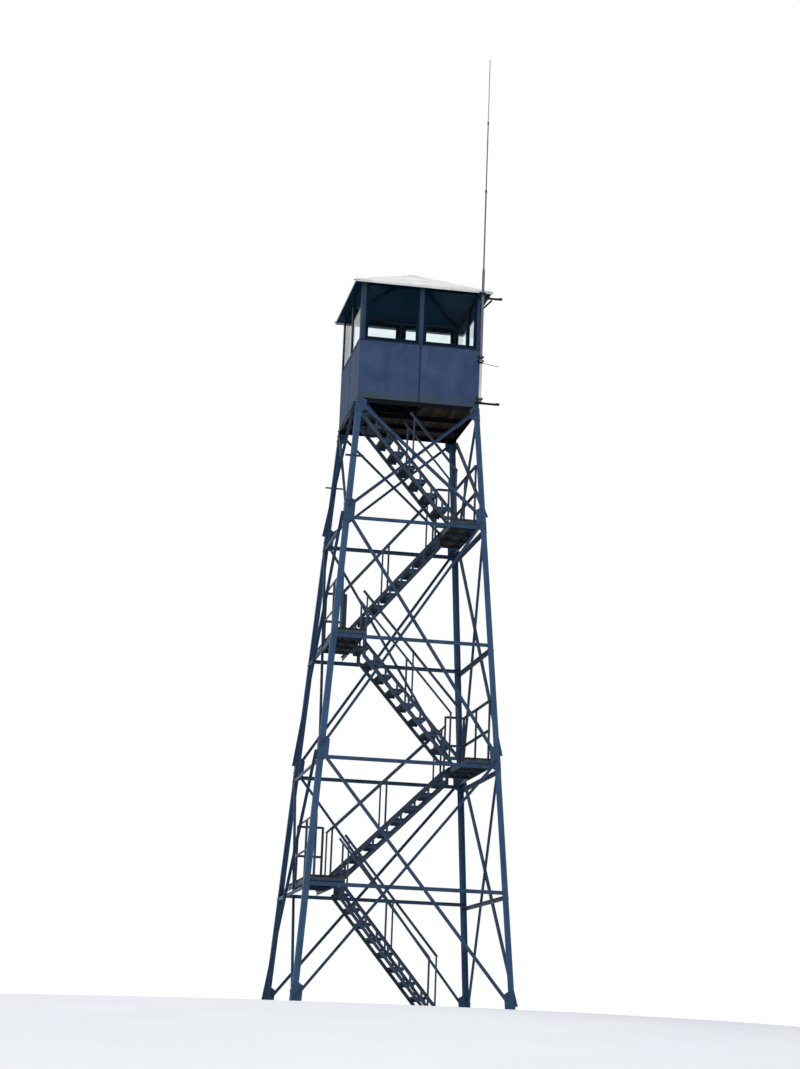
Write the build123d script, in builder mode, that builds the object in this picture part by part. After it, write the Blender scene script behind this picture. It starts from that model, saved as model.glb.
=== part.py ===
from build123d import *
from math import atan, cos, radians, sin, tan
import os

os.makedirs("parts", exist_ok=True)

# Steel fire lookout tower with an inside stair, in millimetres.
# +Z is up and -Y is the near face. The origin is on the ground at the centre of the four feet.

# Stair and tower heights
riser = 228.6
risers_per_flight = 9
flight_count = 5
flight_rise = riser * risers_per_flight
cab_floor_height = flight_rise * flight_count

# Tower plan: outer width over the legs at the ground and at the cab floor
base_width = 3628.0
cab_width = 2134.0
batter = (base_width - cab_width) / 2 / cab_floor_height
face_tilt = atan(batter)

# Rolled steel sections
leg_width = 100.0
leg_thickness = 8.0
girt_width = 64.0
girt_thickness = 6.0
brace_width = 48.0
brace_thickness = 5.0
gusset_thickness = 6.0
gusset_reach = 170.0
gusset_chamfer = 45.0
gusset_height = 400.0
top_gusset_height = 250.0
foot_gusset_height = 330.0
gusset_edge = 5.0
joint_gap = 40.0
notch_gap = 4.0
fit_gap = 0.3

# Feet
foot_plate_width = 220.0
foot_plate_thickness = 12.0
foot_plate_inset = 60.0
anchor_hole_radius = 11.0
anchor_spacing = 150.0

# Landings: inner edges from the top landing down, right and left by turns
landing_inner_edges = (650.0, -780.0, 950.0, -1000.0)
landing_far_end = 770.0
landing_side_gap = 62.0
plank_thickness = 38.0
plank_width = 140.0
plank_gap = 8.0
landing_beam_depth = 75.0
landing_beam_width = 40.0
landing_beam_thickness = 5.0
bearer_depth = 50.0
bearer_thickness = 5.0
bearer_count = 5

# Flights: how far the nosing line starts behind the upper edge and ends past the lower edge
hatch_inset = 87.0
ground_foot_x = 740.0
start_insets = (0.0, 0.0, 90.0, 0.0, 0.0)
foot_insets = (160.0, 300.0, 25.0, 120.0, 0.0)
far_lane_edge = -50.0
lane_width = 600.0
stringer_depth = 215.0
stringer_chord = 55.0
stringer_lap = 10.0
stringer_flange = 35.0
stringer_thickness = 5.0
stringer_end = 60.0
strap_width = 40.0
tread_depth = 230.0
tread_thickness = 38.0

# Handrails and guards
rail_width = 38.0
rail_thickness = 4.0
rail_post_width = 30.0
rail_post_thickness = 4.0
handrail_height = 820.0
guard_post_width = 38.0
guard_height = 1000.0
guard_inset = 150.0
guard_end_inset = 24.0
guard_return_inset = 48.0
rail_steps = (0.4, 8.7)
post_steps = (0.6, 4.6, 8.5)

# Cab
floor_thickness = 28.0
floor_board_width = 140.0
floor_board_gap = 2.0
floor_beam_depth = 80.0
floor_beam_width = 40.0
floor_beam_thickness = 6.0
hatch_boards = 8
hatch_far = -240.0
second_joist_y = 400.0
sheet_thickness = 2.0
post_width = 76.0
post_thickness = 6.0
sill_height = 1030.0
wall_height = 2131.0
rail_angle_width = 50.0
rail_angle_thickness = 5.0
sash_width = 45.0
sash_thickness = 27.0
glass_thickness = 4.0

# Roof
roof_overhang = 140.0
roof_pitch = radians(27.0)
roof_sheet = 2.0
roof_skirt = 40.0
roof_cap_width = 220.0
hip_cap_width = 60.0
hip_cap_lap = 30.0
roof_opening = 40.0
rafter_width = 38.0
rafter_depth = 60.0

# Antenna mast: heights above the cab floor
mast_inset = 27.0
mast_gap = 12.0
mast_pipe_radius = 24.0
mast_foot = 33.0
mast_pipe_top = 2413.0
mast_collar_height = 60.0
whip_sleeve_radius = 14.0
whip_sleeve_top = 3913.0
whip_radius = 11.0
whip_joint = 5213.0
whip_tip_radius = 7.0
whip_top = 6433.0
mast_arm_reach = 323.0
mast_arm_width = 40.0
mast_arm_thickness = 5.0
mast_arm_heights = (33.0, 1963.0)
middle_clamp_height = 793.0
mast_clamp_height = 30.0
mast_clamp_wall = 8.0
mast_knob_radius = 24.0
mast_knob_length = 60.0
knee_foot_height = 1743.0
knee_reach = 165.0
knee_width = 30.0
knee_thickness = 4.0

# Small brackets across the left legs, between the top landing and the cab
leg_bracket_drop = 1087.0
leg_bracket_out = 100.0
leg_bracket_in = 220.0
leg_bracket_width = 30.0
leg_bracket_thickness = 4.0

near, right, far, left = 0, 90, 180, 270
levels = [cab_floor_height - flight_rise * n for n in range(flight_count + 1)]
landing_levels = levels[1:flight_count]
beam_end_inset = brace_width + fit_gap
girt_dip = (beam_end_inset + landing_beam_depth * sin(face_tilt)) * sin(face_tilt)
girt_top_drop = plank_thickness + landing_beam_depth + fit_gap - girt_dip
side_girt_drop = girt_width + girt_thickness
frame_seat = leg_thickness + fit_gap
cab_half = cab_width / 2
hatch_nosing_x = hatch_inset - cab_half
wall_base = cab_floor_height - floor_thickness


def half_width(z):
    """Half of the tower's outer width at height z."""
    return base_width / 2 - batter * z


def face_plane(turn):
    """Outer plane of one tower face: x runs along it, y up its slope and z outward."""
    angle = radians(turn)
    return Plane(
        origin=(base_width / 2 * sin(angle), -base_width / 2 * cos(angle), 0),
        x_dir=(cos(angle), sin(angle), 0),
        z_dir=(sin(angle) * cos(face_tilt), -cos(angle) * cos(face_tilt), sin(face_tilt)),
    )


def slope(z):
    """Distance up the slope of a face to height z."""
    return z / cos(face_tilt)


def block(low, high):
    """Rectangular piece between two corners, added to the part in hand."""
    corner = Vector(*low)
    size = Vector(*high) - corner
    with Locations(corner + size * 0.5):
        Box(size.X, size.Y, size.Z)


def angle_bar(start, end, web_dir, flange_dir, width, thickness):
    """Angle from start to end along its heel. Its web runs from the heel along web_dir,
    and its flange from the heel along flange_dir."""
    run = end - start
    section = Plane(origin=start, x_dir=web_dir, z_dir=run.normalized())
    side = 1 if section.y_dir.dot(flange_dir) > 0 else -1
    with BuildPart() as bar:
        with BuildSketch(section):
            with BuildLine():
                Polyline(
                    (0, 0),
                    (width, 0),
                    (width, side * thickness),
                    (thickness, side * thickness),
                    (thickness, side * width),
                    (0, side * width),
                    close=True,
                )
            make_face()
        extrude(amount=run.length)
    return bar.part


def round_bar(start, end, radius):
    """Round bar or pipe from start to end."""
    run = end - start
    with BuildPart() as bar:
        with BuildSketch(Plane(origin=start, z_dir=run.normalized())):
            Circle(radius)
        extrude(amount=run.length)
    return bar.part


# Legs: four angles that lean in together, each a straight loft from the foot to the cab
def corner_angle(x_side, y_side, z):
    """Level section of a leg at height z, with its heel at the tower's corner."""
    heel = half_width(z)
    with BuildSketch(Plane.XY.offset(z)) as section:
        with BuildLine():
            Polyline(
                (x_side * heel, y_side * heel),
                (x_side * (heel - leg_width), y_side * heel),
                (x_side * (heel - leg_width), y_side * (heel - leg_thickness)),
                (x_side * (heel - leg_thickness), y_side * (heel - leg_thickness)),
                (x_side * (heel - leg_thickness), y_side * (heel - leg_width)),
                (x_side * heel, y_side * (heel - leg_width)),
                close=True,
            )
        make_face()
    return section.sketch


corners = {
    "near_left": (-1, -1),
    "near_right": (1, -1),
    "far_right": (1, 1),
    "far_left": (-1, 1),
}
for corner_name, (x_side, y_side) in corners.items():
    with BuildPart() as leg:
        loft(
            sections=[
                corner_angle(x_side, y_side, foot_plate_thickness),
                corner_angle(x_side, y_side, wall_base),
            ],
            ruled=True,
        )
    leg.part.label = f"{corner_name}_leg"
    export_step(leg.part, f"parts/{leg.part.label}.step")

# Foot plates: square plates under the legs, each with two anchor bolt holes
plate_centre = base_width / 2 - foot_plate_inset
hole_line = plate_centre - anchor_spacing / 2
with BuildPart() as foot_plates:
    with BuildSketch():
        for x_side, y_side in corners.values():
            with Locations((x_side * plate_centre, y_side * plate_centre)):
                Rectangle(foot_plate_width, foot_plate_width)
            with Locations((x_side * plate_centre, y_side * hole_line)):
                with GridLocations(anchor_spacing, 0, 2, 1):
                    Circle(anchor_hole_radius, mode=Mode.SUBTRACT)
    extrude(amount=foot_plate_thickness)
foot_plates.part.label = "foot_plates"
export_step(foot_plates.part, "parts/foot_plates.step")


# Girts: level angles between the legs, the side faces' ones below those of the near and far faces
def girt_top(turn, level):
    """Height of the top of a girt below a landing."""
    drop = girt_top_drop if turn in (near, far) else girt_top_drop + side_girt_drop
    return level - drop


def face_girt(turn, level):
    """One girt, laid against the inner face of the legs."""
    face = face_plane(turn)
    rise = slope(girt_top(turn, level))
    end = half_width(girt_top(turn, level)) - frame_seat - fit_gap
    return angle_bar(
        face.from_local_coords((-end, rise, -frame_seat)),
        face.from_local_coords((end, rise, -frame_seat)),
        -face.y_dir,
        -face.z_dir,
        girt_width,
        girt_thickness,
    )


face_names = {"near": near, "right": right, "far": far, "left": left}
for face_name, turn in face_names.items():
    with BuildPart() as girts:
        for level in landing_levels:
            add(face_girt(turn, level))
    girts.part.label = f"{face_name}_girts"
    export_step(girts.part, f"parts/{girts.part.label}.step")

# Cross bracing: panels one, two and two flights high, between these levels
panel_levels = (levels[0], levels[1], levels[3], levels[5])
brace_point_inset = leg_width / 2
top_brace_drop = floor_thickness + floor_beam_depth


def brace_point(side, z):
    """Point on the middle of a leg's flange, in the plane of the face."""
    return (side * (half_width(z) - brace_point_inset), slope(z))


def brace_ends(upper, lower):
    """Upper and lower heights of a pair of braces in one panel."""
    top = upper - (top_brace_drop if upper == levels[0] else joint_gap)
    bottom = lower + (leg_width if lower == levels[-1] else joint_gap)
    return top, bottom


def outer_brace(face, upper, lower):
    """Brace outside the gussets, with its flange outward, rising to the right."""
    top, bottom = brace_ends(upper, lower)
    start = Vector(*brace_point(-1, bottom), gusset_thickness)
    end = Vector(*brace_point(1, top), gusset_thickness)
    across = (end - start).cross(Vector(0, 0, 1)).normalized() * (brace_width / 2)
    heel_start = face.from_local_coords(start - across)
    heel_end = face.from_local_coords(end - across)
    web_dir = (face.from_local_coords(start + across) - heel_start).normalized()
    return angle_bar(heel_start, heel_end, web_dir, face.z_dir, brace_width, brace_thickness)


def brace_notches(turn):
    """Ranges of height, on one face, that the girts and the floor beams take up."""
    notches = [(wall_base - floor_beam_depth - notch_gap, wall_base)]
    for level in landing_levels:
        top = girt_top(turn, level)
        notches.append((top - girt_width - notch_gap, top + notch_gap))
    return notches


def inner_brace(turn, upper, lower):
    """Brace between the legs, behind the gussets, with its flange inward, rising to the left.
    Its flange is notched where the girts and the floor beams pass."""
    face = face_plane(turn)
    top, bottom = brace_ends(upper, lower)
    start = Vector(*brace_point(1, bottom), 0)
    end = Vector(*brace_point(-1, top), 0)
    run = (end - start).normalized()
    across = run.cross(Vector(0, 0, 1)).normalized() * (brace_width / 2)
    clearing = leg_width - brace_point_inset + abs(across.X) + notch_gap
    shortening = run * (clearing / (abs(run.X) - batter * run.Y))
    start = start + shortening
    end = end - shortening
    heel_start = face.from_local_coords(start - across)
    heel_end = face.from_local_coords(end - across)
    web_dir = (face.from_local_coords(start + across) - heel_start).normalized()
    with BuildPart() as brace:
        add(angle_bar(heel_start, heel_end, web_dir, -face.z_dir, brace_width, brace_thickness))
        with BuildSketch(face.offset(-brace_thickness)) as slots:
            for low, high in brace_notches(turn):
                with Locations((0, slope((low + high) / 2))):
                    Rectangle(base_width, slope(high - low))
        extrude(amount=-brace_width, mode=Mode.SUBTRACT)
    return brace.part


for face_name, turn in face_names.items():
    face = face_plane(turn)
    with BuildPart() as braces:
        for upper, lower in zip(panel_levels, panel_levels[1:]):
            add(outer_brace(face, upper, lower))
            add(inner_brace(turn, upper, lower))
    braces.part.label = f"{face_name}_braces"
    export_step(braces.part, f"parts/{braces.part.label}.step")

# Gussets: plates bolted to the outside of the legs where the braces meet them
def gusset(face, side, low, high):
    """Narrow plate on one leg between two heights, with its two free corners cut off."""
    cut_low = low + gusset_chamfer
    cut_high = high - gusset_chamfer
    with BuildPart() as plate:
        with BuildSketch(face):
            with BuildLine():
                Polyline(
                    (side * (half_width(low) - gusset_edge), slope(low)),
                    (side * (half_width(low) - leg_width), slope(low)),
                    (side * (half_width(cut_low) - gusset_reach), slope(cut_low)),
                    (side * (half_width(cut_high) - gusset_reach), slope(cut_high)),
                    (side * (half_width(high) - leg_width), slope(high)),
                    (side * (half_width(high) - gusset_edge), slope(high)),
                    close=True,
                )
            make_face()
        extrude(amount=gusset_thickness)
    return plate.part


top_gusset_edge = wall_base - gusset_edge
foot_gusset_edge = foot_plate_thickness + gusset_edge
gusset_ranges = (
    (top_gusset_edge - top_gusset_height, top_gusset_edge),
    (levels[1] - gusset_height / 2, levels[1] + gusset_height / 2),
    (levels[3] - gusset_height / 2, levels[3] + gusset_height / 2),
    (foot_gusset_edge, foot_gusset_edge + foot_gusset_height),
)
with BuildPart() as gussets:
    for turn in face_names.values():
        for low, high in gusset_ranges:
            for side in (-1, 1):
                add(gusset(face_plane(turn), side, low, high))
gussets.part.label = "gusset_plates"
export_step(gussets.part, "parts/gusset_plates.step")


# Landings: two beams from the near girt to the far girt, bearers between them, planks on top
def landing_edges(number):
    """Side of a landing, and the x of its inner and outer edges."""
    inner = landing_inner_edges[number]
    side = 1 if inner > 0 else -1
    return side, inner, side * (half_width(landing_levels[number]) - landing_side_gap)


def beam_half_length(level):
    """Reach of the landing beams and planks to the near and far faces."""
    return half_width(level) - beam_end_inset / cos(face_tilt)


def span_block(x_a, x_b, y_a, y_b, z_low, z_high):
    """Block given by any two x values and any two y values."""
    block((min(x_a, x_b), min(y_a, y_b), z_low), (max(x_a, x_b), max(y_a, y_b), z_high))


with BuildPart() as landing_frames:
    for number, level in enumerate(landing_levels):
        side, inner, outer = landing_edges(number)
        reach = beam_half_length(level)
        top = level - plank_thickness
        bottom = top - landing_beam_depth
        lip = top - landing_beam_thickness
        for edge, inward in ((inner, side), (outer, -side)):
            web = edge + inward * landing_beam_thickness
            span_block(edge, web, -reach, reach, bottom, top)
            span_block(edge, edge + inward * landing_beam_width, -reach, reach, lip, top)
        web_a = inner + side * (landing_beam_thickness + fit_gap)
        web_b = outer - side * (landing_beam_thickness + fit_gap)
        flange_a = inner + side * (landing_beam_width + fit_gap)
        flange_b = outer - side * (landing_beam_width + fit_gap)
        pitch = (landing_far_end + reach - bearer_depth) / (bearer_count - 1)
        for bearer in range(bearer_count):
            y = pitch * bearer - reach
            low = top - bearer_depth
            span_block(web_a, web_b, y, y + bearer_thickness, low, lip - fit_gap)
            span_block(flange_a, flange_b, y, y + bearer_thickness, low, top)
            span_block(flange_a, flange_b, y, y + bearer_depth, top - bearer_thickness, top)
landing_frames.part.label = "landing_frames"
export_step(landing_frames.part, "parts/landing_frames.step")

with BuildPart() as landing_planks:
    for number, level in enumerate(landing_levels):
        side, inner, outer = landing_edges(number)
        deck = abs(outer - inner)
        plank_count = round(deck / (plank_width + plank_gap))
        width = (deck - (plank_count - 1) * plank_gap) / plank_count
        reach = beam_half_length(level)
        for plank in range(plank_count):
            x = inner + side * plank * (width + plank_gap)
            low = level - plank_thickness
            span_block(x, x + side * width, -reach, landing_far_end, low, level)
landing_planks.part.label = "landing_planks"
export_step(landing_planks.part, "parts/landing_planks.step")

# Flights: open stringers of two angles each, with straps down to the plank treads between them
floor_frame_half = half_width(wall_base) - leg_thickness - 2 * fit_gap
hatch_left = -(floor_frame_half - floor_beam_width)
stair_edges = (hatch_left, *landing_inner_edges)
nosing_edges = (hatch_nosing_x, *landing_inner_edges)
foot_edges = (*landing_inner_edges, ground_foot_x)


class Flight:
    """Sizes of one flight. Its nosing line runs from the upper level to the lower one."""

    def __init__(self, number):
        self.going_side = 1 if number % 2 == 0 else -1
        self.top = levels[number]
        self.foot = levels[number + 1]
        self.start_x = nosing_edges[number] - self.going_side * start_insets[number]
        self.foot_x = foot_edges[number] + self.going_side * foot_insets[number]
        self.upper_cut = stair_edges[number] + self.going_side * fit_gap
        self.run = abs(self.foot_x - self.start_x)
        self.going = self.run / risers_per_flight
        self.steepness = flight_rise / self.run
        self.angle = atan(self.steepness)
        self.near_edge = hatch_nosing_x if number % 2 == 0 else far_lane_edge
        self.far_edge = self.near_edge + lane_width
        self.stringer_rise = stringer_lap / cos(self.angle)
        self.stringer_drop = (stringer_depth - stringer_lap) / cos(self.angle)

    def nosing_z(self, x):
        return self.top - (x - self.start_x) * self.going_side * self.steepness

    def nosing_x(self, z):
        return self.start_x + self.going_side * (self.top - z) / self.steepness

    def band(self, inset):
        """Corners of a long strip along the stringer, inset from its upper and lower edges."""
        before = self.start_x - self.going_side * self.run
        after = self.foot_x + self.going_side * self.run
        rise = self.stringer_rise - inset / cos(self.angle)
        drop = self.stringer_drop - inset / cos(self.angle)
        return (
            (before, self.nosing_z(before) - drop),
            (before, self.nosing_z(before) + rise),
            (after, self.nosing_z(after) + rise),
            (after, self.nosing_z(after) - drop),
        )

    def trim(self, inset):
        """Cuts a strip to the upper edge and to the levels of the flight, less an inset."""
        near_end = self.upper_cut + self.going_side * inset
        far_end = self.foot_x + self.going_side * self.run
        low = self.foot + inset
        with Locations(((near_end + far_end) / 2, (low + self.top) / 2)):
            Rectangle(abs(far_end - near_end), self.top - low, mode=Mode.INTERSECT)

    def stringer(self, edge, outward):
        """Open frame on one edge of the treads: an angle along its top and one along its foot,
        flanges outward, and a strap from the upper angle down to each tread."""
        with BuildPart() as frame:
            with BuildSketch(Plane.XZ.offset(-edge)):
                with BuildLine():
                    Polyline(*self.band(0), close=True)
                make_face()
                self.trim(0)
            extrude(amount=-outward * stringer_flange)
            with BuildSketch(Plane.XZ.offset(-edge - outward * stringer_thickness)):
                with BuildLine():
                    Polyline(*self.band(stringer_thickness), close=True)
                make_face()
            extrude(amount=-outward * stringer_flange, mode=Mode.SUBTRACT)
            with BuildSketch(Plane.XZ.offset(-edge)):
                with BuildLine():
                    Polyline(*self.band(stringer_chord), close=True)
                make_face()
                self.trim(stringer_end)
                for step in range(1, risers_per_flight):
                    z = self.top - step * riser
                    x = self.nosing_x(z) - self.going_side * tread_depth / 2
                    strap_low = z - tread_thickness
                    strap_high = z + stringer_depth
                    with Locations((x, (strap_low + strap_high) / 2)):
                        Rectangle(strap_width, strap_high - strap_low, mode=Mode.SUBTRACT)
            extrude(amount=-outward * stringer_thickness, mode=Mode.SUBTRACT)
        return frame.part


flights = [Flight(number) for number in range(flight_count)]
for number, flight in enumerate(flights):
    with BuildPart() as stringers:
        add(flight.stringer(flight.near_edge, -1))
        add(flight.stringer(flight.far_edge, 1))
    stringers.part.label = f"flight_{number + 1}_stringers"
    export_step(stringers.part, f"parts/{stringers.part.label}.step")

    with BuildPart() as treads:
        for step in range(1, risers_per_flight):
            z = flight.top - step * riser
            x = flight.nosing_x(z)
            span_block(
                x,
                x - flight.going_side * tread_depth,
                flight.near_edge,
                flight.far_edge,
                z - tread_thickness,
                z,
            )
    treads.part.label = f"flight_{number + 1}_treads"
    export_step(treads.part, f"parts/{treads.part.label}.step")


# Handrails: an angle over each stringer, on posts that stand on the stringer's top flange
def rail_post(flight, x, edge, outward):
    """Upright angle, cut to the slope of the stringer below and of the rail above."""
    normal = (flight.going_side * sin(flight.angle), 0, cos(flight.angle))
    y = edge + outward * (rail_thickness + fit_gap)
    low = flight.nosing_z(x) + flight.stringer_rise
    rail_drop = (rail_thickness + fit_gap) / cos(flight.angle)
    high = flight.nosing_z(x) + handrail_height - rail_drop
    spare = Vector(0, 0, rail_post_width * flight.steepness)
    with BuildPart() as post:
        add(
            angle_bar(
                Vector(x, y, low) - spare,
                Vector(x, y, high) + spare,
                Vector(flight.going_side, 0, 0),
                Vector(0, outward, 0),
                rail_post_width,
                rail_post_thickness,
            )
        )
        split(bisect_by=Plane(origin=(x, y, low), z_dir=normal), keep=Keep.TOP)
        split(bisect_by=Plane(origin=(x, y, high), z_dir=normal), keep=Keep.BOTTOM)
    return post.part


under_floor_steps = (handrail_height + top_brace_drop + floor_beam_depth) / riser
for number, flight in enumerate(flights):
    first_step = under_floor_steps if number == 0 else rail_steps[0]
    posts_at = [step for step in post_steps if step > first_step]
    if number == 0:
        posts_at = [first_step + post_steps[0] - rail_steps[0], post_steps[-1]]
    rise = Vector(0, 0, handrail_height)
    under_rail = Vector(-flight.going_side * sin(flight.angle), 0, -cos(flight.angle))
    with BuildPart() as handrails:
        for edge, outward in ((flight.near_edge, -1), (flight.far_edge, 1)):
            ends = [flight.top - step * riser for step in (first_step, rail_steps[1])]
            start, end = [Vector(flight.nosing_x(z), edge, z) + rise for z in ends]
            add(
                angle_bar(
                    start,
                    end,
                    under_rail,
                    Vector(0, outward, 0),
                    rail_width,
                    rail_thickness,
                )
            )
            for step in posts_at:
                x = flight.nosing_x(flight.top - step * riser)
                add(rail_post(flight, x, edge, outward))
    handrails.part.label = f"flight_{number + 1}_handrails"
    export_step(handrails.part, f"parts/{handrails.part.label}.step")

# Landing guards: angle posts on the planks, with a top rail and a middle rail between them
post_clear = guard_post_width + fit_gap
with BuildPart() as guards:
    for number, level in enumerate(landing_levels):
        side, inner, outer = landing_edges(number)
        guard_x = side * (half_width(level) - guard_inset)
        inner_x = inner + side * guard_return_inset
        near_y = guard_inset - half_width(level)
        far_y = landing_far_end - guard_end_inset
        middle_y = (near_y + far_y) / 2
        for x, y, x_side, y_side in (
            (guard_x, near_y, -side, 1),
            (guard_x, middle_y, -side, 1),
            (guard_x, far_y, -side, -1),
            (inner_x, far_y, side, -1),
        ):
            add(
                angle_bar(
                    Vector(x, y, level),
                    Vector(x, y, level + guard_height),
                    Vector(x_side, 0, 0),
                    Vector(0, y_side, 0),
                    guard_post_width,
                    rail_post_thickness,
                )
            )
        for height in (guard_height / 2, guard_height):
            z = level + height
            corner_x = guard_x - side * post_clear
            for start, end, inward in (
                ((guard_x, near_y + post_clear, z), (guard_x, middle_y - fit_gap, z), (-side, 0, 0)),
                ((guard_x, middle_y + post_clear, z), (guard_x, far_y - post_clear, z), (-side, 0, 0)),
                ((corner_x, far_y, z), (inner_x + side * post_clear, far_y, z), (0, -1, 0)),
            ):
                add(
                    angle_bar(
                        Vector(*start),
                        Vector(*end),
                        Vector(0, 0, -1),
                        Vector(*inward),
                        rail_width,
                        rail_thickness,
                    )
                )
guards.part.label = "landing_guards"
export_step(guards.part, "parts/landing_guards.step")

# Cab floor: beams inside the tops of the legs, joists between them, boards from near to far
floor_half = cab_half - sheet_thickness - post_thickness - fit_gap
board_count = round(2 * floor_half / (floor_board_width + floor_board_gap))
board_pitch = (2 * floor_half + floor_board_gap) / board_count
board_width = board_pitch - floor_board_gap
hatch_right = hatch_boards * board_pitch - floor_board_gap - floor_half
beam_low = wall_base - floor_beam_depth
beam_lip = wall_base - floor_beam_thickness
side_reach = floor_frame_half - floor_beam_width - fit_gap
web_face = floor_frame_half - floor_beam_thickness - fit_gap
flange_face = floor_frame_half - floor_beam_width - fit_gap
with BuildPart() as floor_frame:
    for side in (-1, 1):
        outer = side * floor_frame_half
        web = outer - side * floor_beam_thickness
        lip = outer - side * floor_beam_width
        span_block(-floor_frame_half, floor_frame_half, outer, web, beam_low, wall_base)
        span_block(-floor_frame_half, floor_frame_half, outer, lip, beam_lip, wall_base)
        span_block(outer, web, -side_reach, side_reach, beam_low, wall_base)
        span_block(outer, lip, -side_reach, side_reach, beam_lip, wall_base)
    for y in (hatch_far, second_joist_y):
        web = y + floor_beam_thickness
        lip = y + floor_beam_width
        span_block(-web_face, web_face, y, web, beam_low, beam_lip - fit_gap)
        span_block(-flange_face, flange_face, y, web, beam_low, wall_base)
        span_block(-flange_face, flange_face, y, lip, beam_lip, wall_base)
    web = hatch_right + floor_beam_thickness
    lip = hatch_right + floor_beam_width
    joist_end = hatch_far - fit_gap
    span_block(hatch_right, web, -web_face, joist_end, beam_low, beam_lip - fit_gap)
    span_block(hatch_right, web, -flange_face, joist_end, beam_low, wall_base)
    span_block(hatch_right, lip, -flange_face, joist_end, beam_lip, wall_base)
floor_frame.part.label = "cab_floor_frame"
export_step(floor_frame.part, "parts/cab_floor_frame.step")

with BuildPart() as floor_boards:
    for board in range(board_count):
        x = board * board_pitch - floor_half
        start_y = hatch_far if board < hatch_boards else -floor_half
        block((x, start_y, wall_base), (x + board_width, floor_half, cab_floor_height))
floor_boards.part.label = "cab_floor_boards"
export_step(floor_boards.part, "parts/cab_floor_boards.step")

# Cab posts: an angle at each corner, and a tee between the two windows of each wall
wall_top = cab_floor_height + wall_height
sill = cab_floor_height + sill_height
post_face = cab_half - sheet_thickness
post_back = post_face - post_thickness
window_head = wall_top - rail_angle_width
with BuildPart() as mullion:
    block((-post_width / 2, -post_face, sill), (post_width / 2, -post_back, window_head))
    web_back = rail_angle_width - post_back
    block((-post_thickness / 2, -post_back, sill), (post_thickness / 2, web_back, window_head))
with BuildPart() as cab_posts:
    for x_side, y_side in corners.values():
        heel = Vector(x_side * post_face, y_side * post_face, wall_base)
        add(
            angle_bar(
                heel,
                heel + Vector(0, 0, wall_top - wall_base),
                Vector(-x_side, 0, 0),
                Vector(0, -y_side, 0),
                post_width,
                post_thickness,
            )
        )
    for turn in face_names.values():
        add(mullion.part, rotation=(0, 0, turn))
cab_posts.part.label = "cab_posts"
export_step(cab_posts.part, "parts/cab_posts.step")

# Cab rails: an angle along each sill and one along each wall top, between the corner posts
rail_reach = post_face - post_width - fit_gap
with BuildPart() as wall_rails:
    for top in (sill, wall_top):
        add(
            angle_bar(
                Vector(-rail_reach, -post_face, top),
                Vector(rail_reach, -post_face, top),
                Vector(0, 0, -1),
                Vector(0, 1, 0),
                rail_angle_width,
                rail_angle_thickness,
            )
        )
with BuildPart() as cab_rails:
    for turn in face_names.values():
        add(wall_rails.part, rotation=(0, 0, turn))
cab_rails.part.label = "cab_rails"
export_step(cab_rails.part, "parts/cab_rails.step")

# Wall panels: two sheets below the windows of each wall, with a seam between them
with BuildPart() as wall_panels:
    for side in (-1, 1):
        for half in (-1, 1):
            seam = half * fit_gap / 2
            outer = side * cab_half
            inner = side * post_face
            span_block(seam, half * cab_half, outer, inner, wall_base, sill)
            span_block(outer, inner, seam, half * (post_face - fit_gap), wall_base, sill)
wall_panels.part.label = "cab_wall_panels"
export_step(wall_panels.part, "parts/cab_wall_panels.step")

# Windows: two glazed sashes in each wall, between the mullion and the corner posts
sash_near = post_width / 2 + fit_gap
sash_far = post_face - post_width - fit_gap
sash_low = sill + fit_gap
sash_high = window_head - fit_gap
sash_plan = (sash_far - sash_near, sash_high - sash_low)
sash_centre = ((sash_near + sash_far) / 2, (sash_low + sash_high) / 2)
pane_plan = [side - 2 * (sash_width + fit_gap) for side in sash_plan]
with BuildPart() as sash_pair:
    with BuildSketch(Plane.XZ.offset(post_face - sash_thickness)):
        for half in (-1, 1):
            with Locations((half * sash_centre[0], sash_centre[1])):
                Rectangle(*sash_plan)
                Rectangle(*[side - 2 * sash_width for side in sash_plan], mode=Mode.SUBTRACT)
    extrude(amount=sash_thickness)
with BuildPart() as sashes:
    for turn in face_names.values():
        add(sash_pair.part, rotation=(0, 0, turn))
sashes.part.label = "window_sashes"
export_step(sashes.part, "parts/window_sashes.step")

with BuildPart() as pane_pair:
    with BuildSketch(Plane.XZ.offset(post_face - (sash_thickness + glass_thickness) / 2)):
        for half in (-1, 1):
            with Locations((half * sash_centre[0], sash_centre[1])):
                Rectangle(*pane_plan)
    extrude(amount=glass_thickness)
with BuildPart() as glass:
    for turn in face_names.values():
        add(pane_pair.part, rotation=(0, 0, turn))
glass.part.label = "window_glass"
export_step(glass.part, "parts/window_glass.step")

# Roof: four folded sheets with a turned-down edge, mitred along the hips
eave_half = cab_half + roof_overhang
roof_lift = roof_sheet / cos(roof_pitch)


def under_roof(reach):
    """Height of the underside of the roof where it is reach from the middle."""
    return wall_top + (cab_half - reach) * tan(roof_pitch)


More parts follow.
